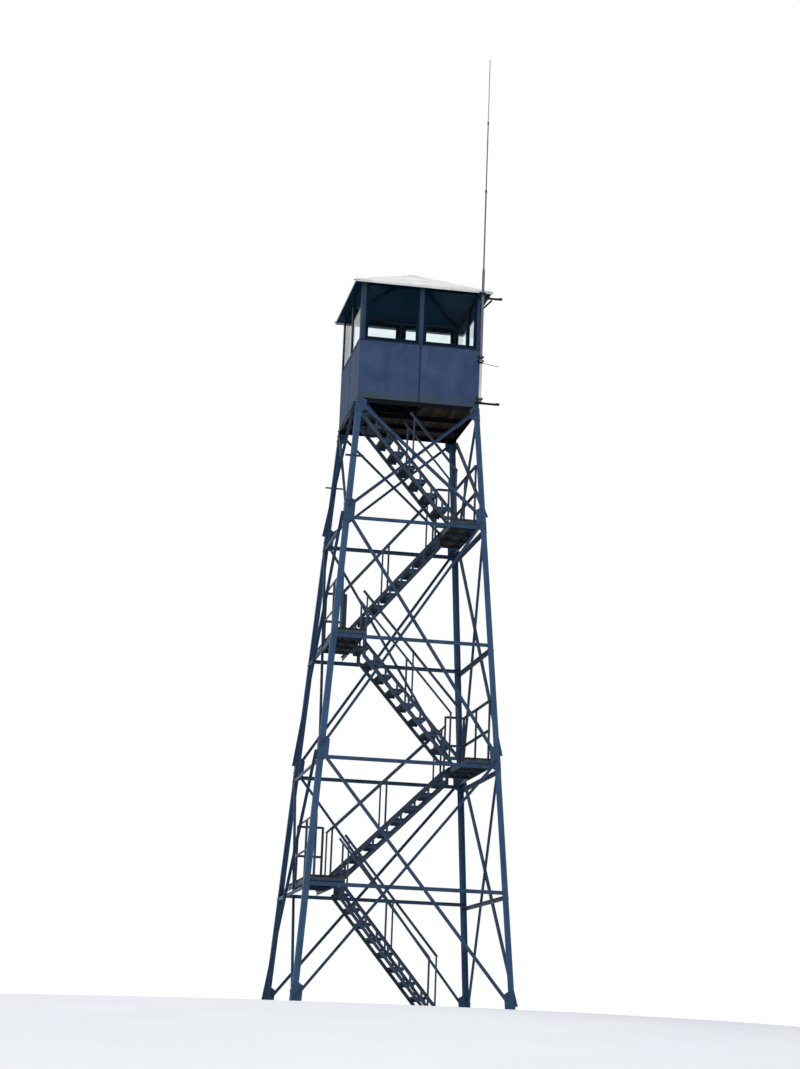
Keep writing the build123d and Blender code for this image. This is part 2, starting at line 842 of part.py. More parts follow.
skirt_low = under_roof(eave_half) - roof_skirt
skirt_back = eave_half - roof_sheet
with BuildPart() as roof_panel:
    with BuildSketch(Plane.YZ):
        with BuildLine():
            Polyline(
                (-eave_half, skirt_low),
                (-eave_half, under_roof(eave_half) + roof_lift),
                (-roof_opening, under_roof(roof_opening) + roof_lift),
                (-roof_opening, under_roof(roof_opening)),
                (-skirt_back, under_roof(skirt_back)),
                (-skirt_back, skirt_low),
                close=True,
            )
        make_face()
    extrude(amount=eave_half, both=True)
    for side in (-1, 1):
        mitre = Plane(origin=(0, -fit_gap, 0), z_dir=(side, 1, 0))
        split(bisect_by=mitre, keep=Keep.BOTTOM)
with BuildPart() as roof_panels:
    for turn in face_names.values():
        add(roof_panel.part, rotation=(0, 0, turn))
roof_panels.part.label = "roof_panels"
export_step(roof_panels.part, "parts/roof_panels.step")


# Hip rafters under the joints of the roof sheets, and folded hip caps over them
def hip_point(reach, lift):
    """Point on the near right hip, at a height above the underside of the roof."""
    return Vector(reach, -reach, under_roof(reach) + lift)


hip_run = (hip_point(0, 0) - hip_point(eave_half, 0)).normalized()
hip_across = Vector(-1, -1, 0).normalized()
roof_normal = Vector(sin(roof_pitch), 0, cos(roof_pitch))
hip_up = hip_run.cross(hip_across)
hip_fall = abs(roof_normal.dot(hip_across)) / roof_normal.dot(hip_up)
rafter_foot = post_face - rail_angle_width - rafter_width / 2 * sin(radians(45)) - fit_gap
hip_cap_lift = roof_lift + fit_gap
with BuildPart() as rafter:
    half = rafter_width / 2
    with BuildSketch(Plane(origin=hip_point(rafter_foot, 0), x_dir=hip_across, z_dir=hip_run)):
        with BuildLine():
            Polyline(
                (0, -fit_gap),
                (half, -hip_fall * half - fit_gap),
                (half, -rafter_depth),
                (-half, -rafter_depth),
                (-half, -hip_fall * half - fit_gap),
                close=True,
            )
        make_face()
    extrude(amount=(hip_point(roof_opening, 0) - hip_point(rafter_foot, 0)).length)
with BuildPart() as rafters:
    for turn in face_names.values():
        add(rafter.part, rotation=(0, 0, turn))
rafters.part.label = "hip_rafters"
export_step(rafters.part, "parts/hip_rafters.step")

cap_end = roof_cap_width / 2 - hip_cap_lap
with BuildPart() as hip_cap:
    fall = hip_fall * hip_cap_width
    start = hip_point(eave_half, hip_cap_lift)
    with BuildSketch(Plane(origin=start, x_dir=hip_across, z_dir=hip_run)):
        with BuildLine():
            Polyline(
                (0, 0),
                (hip_cap_width, -fall),
                (hip_cap_width, roof_sheet - fall),
                (0, roof_sheet),
                (-hip_cap_width, roof_sheet - fall),
                (-hip_cap_width, -fall),
                close=True,
            )
        make_face()
    extrude(amount=(hip_point(cap_end, hip_cap_lift) - start).length)
apex_lift = hip_cap_lift + roof_sheet / hip_up.Z + fit_gap
apex_base = under_roof(roof_cap_width / 2) + apex_lift + roof_sheet
apex_top_half = roof_opening / 2
with BuildPart() as apex_cap:
    for drop, mode in ((0, Mode.ADD), (roof_sheet, Mode.SUBTRACT)):
        with BuildSketch(Plane.XY.offset(apex_base - drop)) as foot:
            Rectangle(roof_cap_width, roof_cap_width)
        top_z = apex_base - drop + (roof_cap_width / 2 - apex_top_half) * tan(roof_pitch)
        with BuildSketch(Plane.XY.offset(top_z)) as head:
            Rectangle(2 * apex_top_half, 2 * apex_top_half)
        loft(sections=[foot.sketch, head.sketch], ruled=True, mode=mode)
with BuildPart() as roof_caps:
    for turn in face_names.values():
        add(hip_cap.part, rotation=(0, 0, turn))
    add(apex_cap.part)
roof_caps.part.label = "roof_caps"
export_step(roof_caps.part, "parts/roof_caps.step")

# Antenna mast: a pipe outside the eave at the near right corner, with a jointed whip on top
mast_x = cab_half - mast_inset
mast_y = -(eave_half + mast_gap + mast_pipe_radius)
with BuildPart() as mast:
    foot = Vector(mast_x, mast_y, cab_floor_height)
    with BuildSketch(Plane(origin=foot, x_dir=(1, 0, 0), z_dir=(0, -1, 0))):
        with BuildLine():
            Polyline(
                (0, mast_foot),
                (mast_pipe_radius, mast_foot),
                (mast_pipe_radius, mast_pipe_top),
                (whip_sleeve_radius, mast_pipe_top + mast_collar_height),
                (whip_sleeve_radius, whip_sleeve_top),
                (whip_radius, whip_sleeve_top),
                (whip_radius, whip_joint),
                (whip_tip_radius, whip_joint),
                (whip_tip_radius, whip_top),
                (0, whip_top),
                close=True,
            )
        make_face()
    revolve(axis=Axis((mast_x, mast_y, 0), (0, 0, 1)))
mast.part.label = "antenna_mast"
export_step(mast.part, "parts/antenna_mast.step")

# Mast brackets: clamps round the mast, two outward arms, and a knee under the upper arm
clamp_inner = mast_pipe_radius + fit_gap
clamp_outer = clamp_inner + mast_clamp_wall
arm_start = post_face - post_width


def mast_clamp(seat, z):
    """Ring round the mast with an arm back to its seat on the wall, at height z."""
    arm_front = mast_y + (clamp_inner + clamp_outer) / 2
    with BuildPart() as clamp:
        with BuildSketch(Plane.XY.offset(z)):
            with Locations((mast_x, mast_y)):
                Circle(clamp_outer)
            with Locations((mast_x, (seat + arm_front) / 2)):
                Rectangle(mast_arm_width, seat - arm_front)
            with Locations((mast_x, mast_y)):
                Circle(clamp_inner, mode=Mode.SUBTRACT)
        extrude(amount=mast_clamp_height)
    return clamp.part


with BuildPart() as mast_brackets:
    for height, wall_face in zip(mast_arm_heights, (cab_half, post_face)):
        z = cab_floor_height + height
        seat = -wall_face - fit_gap
        heel = Vector(arm_start, seat, z)
        tip = Vector(cab_half + mast_arm_reach, seat, z)
        add(
            angle_bar(
                heel,
                tip,
                Vector(0, 0, 1),
                Vector(0, -1, 0),
                mast_arm_width,
                mast_arm_thickness,
            )
        )
        knob_centre = tip + Vector(0, -mast_arm_width / 2, mast_arm_width / 2)
        half_knob = Vector(mast_knob_length / 2, 0, 0)
        add(round_bar(knob_centre - half_knob, knob_centre + half_knob, mast_knob_radius))
        clamp_z = z + mast_arm_thickness + fit_gap
        add(mast_clamp(seat - mast_arm_thickness - fit_gap, clamp_z))
    add(mast_clamp(-cab_half - fit_gap, cab_floor_height + middle_clamp_height))
    knee_seat = -post_face - fit_gap
    knee_foot_z = cab_floor_height + knee_foot_height
    knee_head_z = cab_floor_height + mast_arm_heights[1] - fit_gap
    knee_foot = Vector(post_face - post_width / 2, knee_seat, knee_foot_z)
    knee_head = Vector(post_face + knee_reach, knee_seat, knee_head_z)
    add(
        angle_bar(
            knee_foot,
            knee_head,
            Vector(0, -1, 0),
            Vector(1, 0, -1),
            knee_width,
            knee_thickness,
        )
    )
mast_brackets.part.label = "mast_brackets"
export_step(mast_brackets.part, "parts/mast_brackets.step")

# Leg brackets: short angles bolted across the outer face of the two left legs
leg_bracket_z = cab_floor_height - leg_bracket_drop
with BuildPart() as leg_brackets:
    for turn, side in ((near, -1), (far, 1)):
        face = face_plane(turn)
        leg_edge = half_width(leg_bracket_z)
        rise = slope(leg_bracket_z)
        tip = side * (leg_edge + leg_bracket_out)
        root = side * (leg_edge - leg_bracket_in)
        add(
            angle_bar(
                face.from_local_coords((tip, rise, fit_gap)),
                face.from_local_coords((root, rise, fit_gap)),
                -face.y_dir,
                face.z_dir,
                leg_bracket_width,
                leg_bracket_thickness,
            )
        )
leg_brackets.part.label = "leg_brackets"
export_step(leg_brackets.part, "parts/leg_brackets.step")
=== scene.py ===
import math

import bmesh
import bpy
from mathutils import Matrix, Vector


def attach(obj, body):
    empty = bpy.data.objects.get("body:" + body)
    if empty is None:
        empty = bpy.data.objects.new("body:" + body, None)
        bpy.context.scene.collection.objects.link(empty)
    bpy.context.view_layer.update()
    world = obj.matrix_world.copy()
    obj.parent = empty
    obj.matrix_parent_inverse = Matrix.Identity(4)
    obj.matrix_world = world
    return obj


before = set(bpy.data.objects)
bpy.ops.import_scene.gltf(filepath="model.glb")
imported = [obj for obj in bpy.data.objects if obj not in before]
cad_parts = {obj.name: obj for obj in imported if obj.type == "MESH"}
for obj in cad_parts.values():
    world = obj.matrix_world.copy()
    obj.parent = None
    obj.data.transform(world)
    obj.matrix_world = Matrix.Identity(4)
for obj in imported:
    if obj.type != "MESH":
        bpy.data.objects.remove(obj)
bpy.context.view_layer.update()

# Viewpoint: the tower is seen from a lower shoulder of the hill, 37 m from its middle and a
# little to the left. The camera stands below the feet, looks up the stair and leans slightly.
eye = Vector((-6.29, -36.38, -0.68))
aim = Vector((-0.05, 0.0, 8.15))
roll = math.radians(2.25)
camera_data = bpy.data.cameras.new("view")
camera_data.lens = 73.0
camera_data.sensor_width = 36.0
camera = bpy.data.objects.new("view", camera_data)
bpy.context.scene.collection.objects.link(camera)
turned_to_aim = (aim - eye).to_track_quat("-Z", "Y").to_matrix().to_4x4()
camera.matrix_world = Matrix.Translation(eye) @ turned_to_aim @ Matrix.Rotation(roll, 4, "Z")
bpy.context.scene.camera = camera

# Legs, girts, braces and gussets: rolled steel angles and cut plates, dipped in zinc before
# they were bolted up on the hill. The zinc has dulled to a dark blue grey, with its crystals
# still showing, dark rain runs and a few rust stains; its blue and its darkness are partly
# painted shade, the sky light on steel in shade.
rust_brown = (0.13, 0.055, 0.028, 1)
sides = ("near", "right", "far", "left")
corners = ("near_left", "near_right", "far_right", "far_left")


def new_finish(name):
    """Empty material with its shader, a maker of nodes, and a link into the shader."""
    material = bpy.data.materials.new(name)
    material.use_nodes = True
    tree = material.node_tree
    shader = tree.nodes["Principled BSDF"]
    place = tree.nodes.new("ShaderNodeTexCoord")

    def node(kind, links, **settings):
        """Node with its sockets linked or set."""
        made = tree.nodes.new(kind)
        for key, value in settings.items():
            setattr(made, key, value)
        for socket, source in links.items():
            if isinstance(source, bpy.types.NodeSocket):
                tree.links.new(source, made.inputs[socket])
            else:
                made.inputs[socket].default_value = source
        return made

    def join(source, target):
        """Link from a node to a socket of the shader."""
        tree.links.new(source, shader.inputs[target])

    return material, node, join, place.outputs["Object"], shader


def spots(node, where, scale, low, high, detail=4.0, stretch=(1, 1, 1)):
    """Soft patches from 0 to 1, as large as 1 / scale, stretched along the axes."""
    seat = node("ShaderNodeMapping", {"Vector": where, "Scale": stretch})
    noise = node("ShaderNodeTexNoise", {
        "Vector": seat.outputs["Vector"], "Scale": scale, "Detail": detail, "Roughness": 0.6})
    fade = node("ShaderNodeMapRange", {
        "Value": noise.outputs["Fac"], "From Min": low, "From Max": high})
    return fade.outputs["Result"]


def tint(node, amount, under, over):
    """Colour that goes from under to over by amount."""
    factor, first, second, result = 0, 6, 7, 2
    mix = node("ShaderNodeMix", {factor: amount, first: under, second: over}, data_type="RGBA")
    return mix.outputs[result]


def times(node, first, second):
    """Product of two amounts."""
    return node("ShaderNodeMath", {0: first, 1: second}, operation="MULTIPLY").outputs["Value"]


def grained(node, join, where, scale, strength, depth):
    """Fine roughness of a metal skin."""
    grain = node("ShaderNodeTexNoise", {"Vector": where, "Scale": scale, "Detail": 3.0})
    bump = node("ShaderNodeBump", {
        "Height": grain.outputs["Fac"], "Strength": strength, "Distance": depth})
    join(bump.outputs["Normal"], "Normal")


def zinc(name, dull, bright, rust=0.45, metal=0.3, shine=0.25):
    """Weathered galvanised steel between two greys."""
    material, node, join, where, shader = new_finish(name)
    cells = node("ShaderNodeTexVoronoi", {"Vector": where, "Scale": 70.0})
    crystal = node("ShaderNodeMapRange", {
        "Value": cells.outputs["Color"], "To Min": 0.1, "To Max": 0.55})
    cloud = spots(node, where, 2.3, 0.35, 0.68)
    blend = node("ShaderNodeMath", {0: cloud, 1: 0.45, 2: crystal.outputs["Result"]},
                 operation="MULTIPLY_ADD")
    colour = tint(node, blend.outputs["Value"], dull, bright)
    rain = spots(node, where, 9.0, 0.52, 0.75, stretch=(1, 1, 0.06))
    soot = tuple(0.45 * c for c in dull[:3]) + (1,)
    colour = tint(node, times(node, rain, 0.6), colour, soot)
    patch = spots(node, where, 1.7, 0.58, 0.72, detail=8.0)
    fleck = spots(node, where, 38.0, 0.50, 0.66, detail=6.0)
    rusty = times(node, times(node, patch, fleck), rust)
    colour = tint(node, rusty, colour, rust_brown)
    join(colour, "Base Color")
    rough = node("ShaderNodeMapRange", {"Value": cloud, "To Min": 0.45, "To Max": 0.65})
    join(rough.outputs["Result"], "Roughness")
    grained(node, join, where, 160.0, 0.25, 0.0008)
    shader.inputs["Metallic"].default_value = metal
    shader.inputs["Specular IOR Level"].default_value = shine
    return material


leg_zinc = zinc("leg_zinc", (0.015, 0.044, 0.097, 1), (0.042, 0.103, 0.196, 1), shine=0.15)
brace_zinc = zinc("brace_zinc", (0.014, 0.034, 0.072, 1), (0.037, 0.079, 0.150, 1), shine=0.15)
plate_zinc = zinc("plate_zinc", (0.015, 0.039, 0.084, 1), (0.039, 0.083, 0.156, 1), rust=0.75,
                  shine=0.15)


def dress(finish, *names):
    """Gives CAD nodes their finish."""
    for name in names:
        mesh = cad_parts[name].data
        mesh.materials.clear()
        mesh.materials.append(finish)
        for face in mesh.polygons:
            face.material_index = 0


dress(leg_zinc, *[f"{corner}_leg" for corner in corners], "leg_brackets")
dress(brace_zinc, *[f"{side}_girts" for side in sides], *[f"{side}_braces" for side in sides])
dress(plate_zinc, "gusset_plates", "foot_plates")

# Bolts of the lattice: hexagon heads on round washers outside, nuts on a stub of thread
# inside. They hold the gussets to the legs, the braces to the gussets and the girts to the
# legs, and where two braces cross, one bolt passes through a spacer between them.
bolt_zinc = zinc("bolt_zinc", (0.030, 0.042, 0.065, 1), (0.090, 0.110, 0.145, 1), rust=1.0)
foot_half = 1.814
cab_half = 1.067
floor_top = 10.287
flight_rise = 2.0574
batter = (foot_half - cab_half) / floor_top
tilt = math.atan(batter)
levels = [floor_top - flight_rise * step for step in range(6)]
turns = [math.radians(angle) for angle in (0, 90, 180, 270)]
flip = Matrix.Rotation(math.pi, 4, "X")
leg_thickness = 0.008
gusset_thickness = 0.006
brace_thickness = 0.005
girt_back = 0.0145
leg_bolt_line = 0.050
girt_bolt_lines = (0.030, 0.065)
girt_bolt_drops = (0.1415, 0.2220)
brace_joint_gap = 0.040
brace_top_drop = 0.108
brace_foot_rise = 0.100
brace_half_width = 0.024
brace_end_bolts = (0.03, 0.10)
inner_end_bolt = 0.022
inner_brace_gap = 0.054
floor_frame_foot = 10.17
washer_radius = 0.0150
washer_height = 0.0030
hexagon_radius = 0.0135
head_height = 0.0125
nut_height = 0.0150
chamfer_in = 0.0020
chamfer_down = 0.0015
stub_radius = 0.0070
stub_height = 0.0222
stub_chamfer = 0.0012
spacer_radius = 0.0170


def turned(shape, flats, profile):
    """Solid spun about Z from (radius, height) points: six flats make a hexagon."""
    points = [shape.verts.new((radius, 0, height)) for radius, height in profile]
    edges = [shape.edges.new(pair) for pair in zip(points, points[1:])]
    bmesh.ops.spin(shape, geom=points + edges, cent=(0, 0, 0), axis=(0, 0, 1),
                   angle=math.tau, steps=flats, use_merge=True, use_duplicate=False)


def disc(shape, flats, radius, base, top):
    """Round washer or collar about Z."""
    turned(shape, flats, [(0, base), (radius, base), (radius, top), (0, top)])


def hexagon(shape, radius, base, top, inset, drop):
    """Head or nut about Z, chamfered at its top."""
    turned(shape, 6, [(0, base), (radius, base), (radius, top - drop), (radius - inset, top),
                      (0, top)])


def closed(shape, name):
    """Mesh of a finished shape, its seams merged and its faces outward."""
    bmesh.ops.remove_doubles(shape, verts=shape.verts, dist=0.00002)
    bmesh.ops.recalc_face_normals(shape, faces=shape.faces)
    mesh = bpy.data.meshes.new(name)
    shape.to_mesh(mesh)
    shape.free()
    return mesh


def repeat(name, batches):
    """Mesh of small patterns, each copied to its own places."""
    shape = bmesh.new()
    for pattern, places in batches:
        for place in places:
            start = len(shape.verts)
            shape.from_mesh(pattern)
            shape.verts.ensure_lookup_table()
            bmesh.ops.transform(shape, matrix=place, verts=shape.verts[start:])
    mesh = bpy.data.meshes.new(name)
    shape.to_mesh(mesh)
    shape.free()
    return mesh


def fit(mesh, finish):
    """Puts a new piece on the tower, with the given finish in its material slot."""
    mesh.materials.append(finish)
    piece = bpy.data.objects.new(mesh.name, mesh)
    bpy.context.scene.collection.objects.link(piece)
    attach(piece, "root")


shape = bmesh.new()
disc(shape, 12, washer_radius, 0, washer_height)
hexagon(shape, hexagon_radius, washer_height, head_height, chamfer_in, chamfer_down)
bolt_head = closed(shape, "bolt_head")
shape = bmesh.new()
disc(shape, 12, washer_radius, 0, washer_height)
hexagon(shape, hexagon_radius, washer_height, nut_height, chamfer_in, chamfer_down)
turned(shape, 8, [(0, nut_height), (stub_radius, nut_height),
                  (stub_radius, stub_height - stub_chamfer),
                  (stub_radius - stub_chamfer, stub_height), (0, stub_height)])
bolt_nut = closed(shape, "bolt_nut")
shape = bmesh.new()
disc(shape, 12, spacer_radius, 0, gusset_thickness)
spacer = closed(shape, "spacer")


def half_width(z):
    """Half of the tower's width over the legs."""
    return foot_half - batter * z


def on_face(turn, x, z, out):
    """Place on a leaning face: x along it, height z, out from the legs' outer side."""
    lean = Matrix.Rotation(turn, 4, "Z") @ Matrix.Translation((0, -foot_half, 0))
    stand = Matrix.Rotation(math.pi / 2 - tilt, 4, "X")
    return lean @ stand @ Matrix.Translation((x, z / math.cos(tilt), out))


def brace_line(panel, rising):
    """Ends of a brace in one panel, as x and height: rising is 1 to the right, -1 to the left."""
    upper, lower = panel
    top = upper - (brace_top_drop if upper == levels[0] else brace_joint_gap)
    bottom = lower + (brace_foot_rise if lower == levels[5] else brace_joint_gap)
    return (
        Vector((-rising * (half_width(bottom) - leg_bolt_line), bottom)),
        Vector((rising * (half_width(top) - leg_bolt_line), top)),
    )


# Heights of the bolts in the right (1) and the left (-1) leg of a face, at the cab, at the
# feet and at the gussets between. The near and far girts lie higher than those at the sides.
heads = []
nuts = []
spacers = []
leg_bolts = {
    1: [10.225, 10.030, 0.060, 0.180, 0.300],
    -1: [10.220, 10.130, 10.040, 0.040, 0.290],
}
for level in (levels[1], levels[3]):
    leg_bolts[1] += [level + 0.170, level + 0.060]
    leg_bolts[-1] += [level + 0.170, level - 0.060]
for index, turn in enumerate(turns):
    for side, heights in leg_bolts.items():
        for z in heights:
            x = side * (half_width(z) - leg_bolt_line)
            heads.append(on_face(turn, x, z, gusset_thickness))
            if z < floor_frame_foot:
                nuts.append(on_face(turn, x, z, -leg_thickness) @ flip)
        for landing in range(1, 5):
            z = levels[landing] - girt_bolt_drops[index % 2]
            plated = index % 2 == 0 and landing % 2 == 1
            for inset in girt_bolt_lines:
                x = side * (half_width(z) - inset)
                heads.append(on_face(turn, x, z, gusset_thickness if plated else 0.0))
                nuts.append(on_face(turn, x, z, -girt_back) @ flip)
    for panel in ((levels[0], levels[1]), (levels[1], levels[3]), (levels[3], levels[5])):
        low, high = brace_line(panel, 1)
        run = (high - low).normalized()
        ends = [low + reach * run for reach in brace_end_bolts]
        ends += [high - reach * run for reach in brace_end_bolts]
        crossing = low.lerp(high, low.x / (low.x - high.x))
        for point in (*ends, crossing):
            heads.append(on_face(turn, *point, gusset_thickness + brace_thickness))
        nuts.append(on_face(turn, *crossing, -brace_thickness) @ flip)
        spacers.append(on_face(turn, *crossing, 0.0))
        low, high = brace_line(panel, -1)
        run = (high - low).normalized()
        clearing = (inner_brace_gap + brace_half_width * run.y) / (abs(run.x) - batter * run.y)
        reach = clearing + inner_end_bolt
        for point in (low + reach * run, high - reach * run):
            heads.append(on_face(turn, *point, gusset_thickness))
            nuts.append(on_face(turn, *point, -brace_thickness) @ flip)
fit(repeat("lattice_bolts", [(bolt_head, heads), (bolt_nut, nuts), (spacer, spacers)]),
    bolt_zinc)

# Anchors: threaded studs set in the footing, two through each foot plate, with a washer and a
# nut drawn down on the plate. They stand in the weather and have gone brown.
anchor_rust = zinc("anchor_rust", (0.045, 0.030, 0.024, 1), (0.110, 0.080, 0.060, 1), rust=1.0)
foot_plate_top = 0.012
foot_plate_x = 1.754
foot_plate_y = 1.679
anchor_half_spacing = 0.075
anchor_washer_radius = 0.0200
anchor_washer_top = 0.015
anchor_nut_radius = 0.0173
anchor_nut_top = 0.031
anchor_chamfer_in = 0.0023
anchor_chamfer_down = 0.0020
thread_crest = 0.0100
thread_root = 0.0088
thread_foot = 0.001
thread_step = 0.002
thread_steps = 25
thread_top = 0.052
shape = bmesh.new()
disc(shape, 16, anchor_washer_radius, foot_plate_top, anchor_washer_top)
hexagon(shape, anchor_nut_radius, anchor_washer_top, anchor_nut_top,
        anchor_chamfer_in, anchor_chamfer_down)
thread = [(0, thread_foot)]
for step in range(thread_steps):
    radius = thread_crest if step % 2 == 0 else thread_root
    thread.append((radius, thread_foot + thread_step * step))
turned(shape, 12, thread + [(0, thread_top)])
stud = closed(shape, "stud")
anchors = [
    Matrix.Translation((x_side * foot_plate_x + shift, y_side * foot_plate_y, 0))
    for x_side in (-1, 1) for y_side in (-1, 1)
    for shift in (-anchor_half_spacing, anchor_half_spacing)
]
fit(repeat("anchor_studs", [(stud, anchors)]), anchor_rust)

# Landing planks and stair treads: sawn softwood, held by coach bolts. The planks lie on the
# bearers of the landings, and each tread on two angle cleats. Both are greyed by the weather
# and worn pale on top, and their undersides keep more of their colour.
flights = range(1, 6)
bearers = 5
landing_end = 0.770
plank_end_gap = 0.0483
bearer_width = 0.050
bearer_bolt_line = 0.029
plank_bolt_shift = 0.038
tread_bolt_shift = 0.045
cleat_bolt_line = 0.023
cleat_half = 0.070
cleat_leg = 0.040
cleat_wall = 0.004
tread_nut_scale = 0.75


def timber(name, dark, light, worn, wear=0.5):
    """Sawn wood with its grain along Y."""
    material, node, join, where, shader = new_finish(name)
    seat = node("ShaderNodeMapping", {"Vector": where, "Scale": (14.0, 0.55, 14.0)})
    rings = node("ShaderNodeTexNoise", {
        "Vector": seat.outputs["Vector"], "Scale": 3.2, "Detail": 7.0, "Distortion": 1.4})
    line = node("ShaderNodeMapRange", {
        "Value": rings.outputs["Fac"], "From Min": 0.34, "From Max": 0.66})
    colour = tint(node, line.outputs["Result"], dark, light)
    tone = spots(node, where, 1.0, 0.38, 0.62, detail=1.0, stretch=(7.0, 0.15, 7.0))
    colour = tint(node, tone, colour, tuple(c * 0.62 for c in dark[:3]) + (1,))
    rubbed = spots(node, where, 3.5, 0.50, 0.72, detail=5.0)
    facing = node("ShaderNodeNewGeometry", {})
    split = node("ShaderNodeSeparateXYZ", {"Vector": facing.outputs["Normal"]})
    upper = node("ShaderNodeMapRange", {
        "Value": split.outputs["Z"], "From Min": -0.2, "From Max": 0.6, "To Min": 0.15})
    wearing = times(node, times(node, rubbed, wear), upper.outputs["Result"])
    colour = tint(node, wearing, colour, worn)
    join(colour, "Base Color")
    rough = node("ShaderNodeMapRange", {
        "Value": line.outputs["Result"], "To Min": 0.88, "To Max": 0.72})
    join(rough.outputs["Result"], "Roughness")
    bump = node("ShaderNodeBump", {
        "Height": rings.outputs["Fac"], "Strength": 0.5, "Distance": 0.003})
    join(bump.outputs["Normal"], "Normal")
    shader.inputs["Specular IOR Level"].default_value = 0.06
    return material


plank_wood = timber("plank_wood", (0.028, 0.021, 0.016, 1), (0.078, 0.058, 0.042, 1),
                    (0.20, 0.18, 0.15, 1))
tread_wood = timber("tread_wood", (0.020, 0.030, 0.031, 1), (0.056, 0.072, 0.070, 1),
                    (0.18, 0.17, 0.15, 1))
dress(plank_wood, "landing_planks")
dress(tread_wood, *[f"flight_{number}_treads" for number in flights])


def lumps(name):
    """Lowest and highest corner of each separate solid of a CAD node."""
    shape = bmesh.new()
    shape.from_mesh(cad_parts[name].data)
    bmesh.ops.remove_doubles(shape, verts=shape.verts, dist=0.00005)
    waiting = set(shape.verts)
    found = []
    while waiting:
        front = [waiting.pop()]
        group = list(front)
        while front:
            vert = front.pop()
            for edge in vert.link_edges:
                other = edge.other_vert(vert)
                if other in waiting:
                    waiting.remove(other)
                    group.append(other)
                    front.append(other)
        low = tuple(min(vert.co[axis] for vert in group) for axis in range(3))
        high = tuple(max(vert.co[axis] for vert in group) for axis in range(3))
        found.append((Vector(low), Vector(high)))
    shape.free()
    return sorted(found, key=lambda pair: tuple(pair[0]))


def drawn(shape, outline, along):
    """Bar drawn out from a flat outline."""
    face = shape.faces.new([shape.verts.new(point) for point in outline])
    made = bmesh.ops.extrude_face_region(shape, geom=[face])
    moved = [item for item in made["geom"] if isinstance(item, bmesh.types.BMVert)]
    bmesh.ops.translate(shape, vec=along, verts=moved)


def eased(shape, width):
    """Takes the sharp edges off a shape."""
    bmesh.ops.remove_doubles(shape, verts=shape.verts, dist=0.00002)
    bmesh.ops.bevel(shape, geom=shape.edges[:], offset=width, affect="EDGES", segments=1,
                    profile=0.5, material=-1)


shape = bmesh.new()
turned(shape, 10, [(0, 0), (0.0125, 0), (0.0118, 0.0022), (0.0075, 0.0042), (0, 0.0050)])
coach_head = closed(shape, "coach_head")
shape = bmesh.new()
angle_section = ((0, 0), (cleat_leg, 0), (cleat_leg, -cleat_wall), (cleat_wall, -cleat_wall),
                 (cleat_wall, -cleat_leg), (0, -cleat_leg))
drawn(shape, [(-cleat_half, y, z) for y, z in angle_section], (2 * cleat_half, 0, 0))
eased(shape, 0.0007)
cleat = closed(shape, "cleat")
round_about = Matrix.Rotation(math.pi, 4, "Z")
cleats = []
tread_heads = []
tread_nuts = []
for number in flights:
    for low, high in lumps(f"flight_{number}_treads"):
        middle = (low.x + high.x) / 2
        for edge, inward, turn in ((low.y, 1, Matrix()), (high.y, -1, round_about)):
            cleats.append(Matrix.Translation((middle, edge, low.z)) @ turn)
            for shift in (-tread_bolt_shift, tread_bolt_shift):
                seat = (middle + shift, edge + inward * cleat_bolt_line)
                tread_heads.append(Matrix.Translation((*seat, high.z)))
                tread_nuts.append(Matrix.Translation((*seat, low.z - cleat_wall)) @ flip
                                  @ Matrix.Scale(tread_nut_scale, 4))
plank_heads = []
for low, high in lumps("landing_planks"):
    middle = (low.x + high.x) / 2
    reach = half_width(high.z) - plank_end_gap / math.cos(tilt)
    bearer_pitch = (landing_end + reach - bearer_width) / (bearers - 1)
    for bearer in range(bearers):
        y = bearer_pitch * bearer - reach + bearer_bolt_line
        for shift in (-plank_bolt_shift, plank_bolt_shift):
            plank_heads.append(Matrix.Translation((middle + shift, y, high.z)))
fit(repeat("tread_cleats", [(cleat, cleats)]), brace_zinc)
fit(repeat("deck_bolts", [(coach_head, tread_heads + plank_heads), (bolt_nut, tread_nuts)]),
    bolt_zinc)

# Stair and landing steel: stringers of two light angles joined by straps at the treads, and
# landing beams with their bearers. All are galvanised and bolted to the girts, and coloured
# duller than the legs.
stair_zinc = zinc("stair_zinc", (0.017, 0.032, 0.060, 1), (0.046, 0.076, 0.124, 1), rust=0.5,
                  shine=0.2)
dress(stair_zinc, "landing_frames", *[f"flight_{number}_stringers" for number in flights])

# Handrails and landing guards: light galvanised angles, kept brighter than the stair by the
# hands on them. Each guard post stands on a small plate, held to the planks by two coach bolts.
rail_zinc = zinc("rail_zinc", (0.020, 0.034, 0.060, 1), (0.056, 0.082, 0.125, 1), rust=0.25,
                 metal=0.4)
dress(rail_zinc, "landing_guards", *[f"flight_{number}_handrails" for number in flights])
least_post = 0.9
plate_half = 0.042
plate_thickness = 0.005
plate_bolt_shift = 0.029
shape = bmesh.new()
drawn(shape, [(x * plate_half, y * plate_half, 0)
              for x, y in ((-1, -1), (1, -1), (1, 1), (-1, 1))], (0, 0, plate_thickness))
eased(shape, 0.0010)
post_plate = closed(shape, "post_plate")
plates = []
plate_heads = []
for low, high in lumps("landing_guards"):
    if high.z - low.z > least_post:
        centre = Vector(((low.x + high.x) / 2, (low.y + high.y) / 2, low.z))
        plates.append(Matrix.Translation(centre))
        for way in (-1, 1):
            seat = Vector((way * plate_bolt_shift, -way * plate_bolt_shift, plate_thickness))
            plate_heads.append(Matrix.Translation(centre + seat))
fit(repeat("guard_plates", [(post_plate, plates), (coach_head, plate_heads)]),
    rail_zinc)
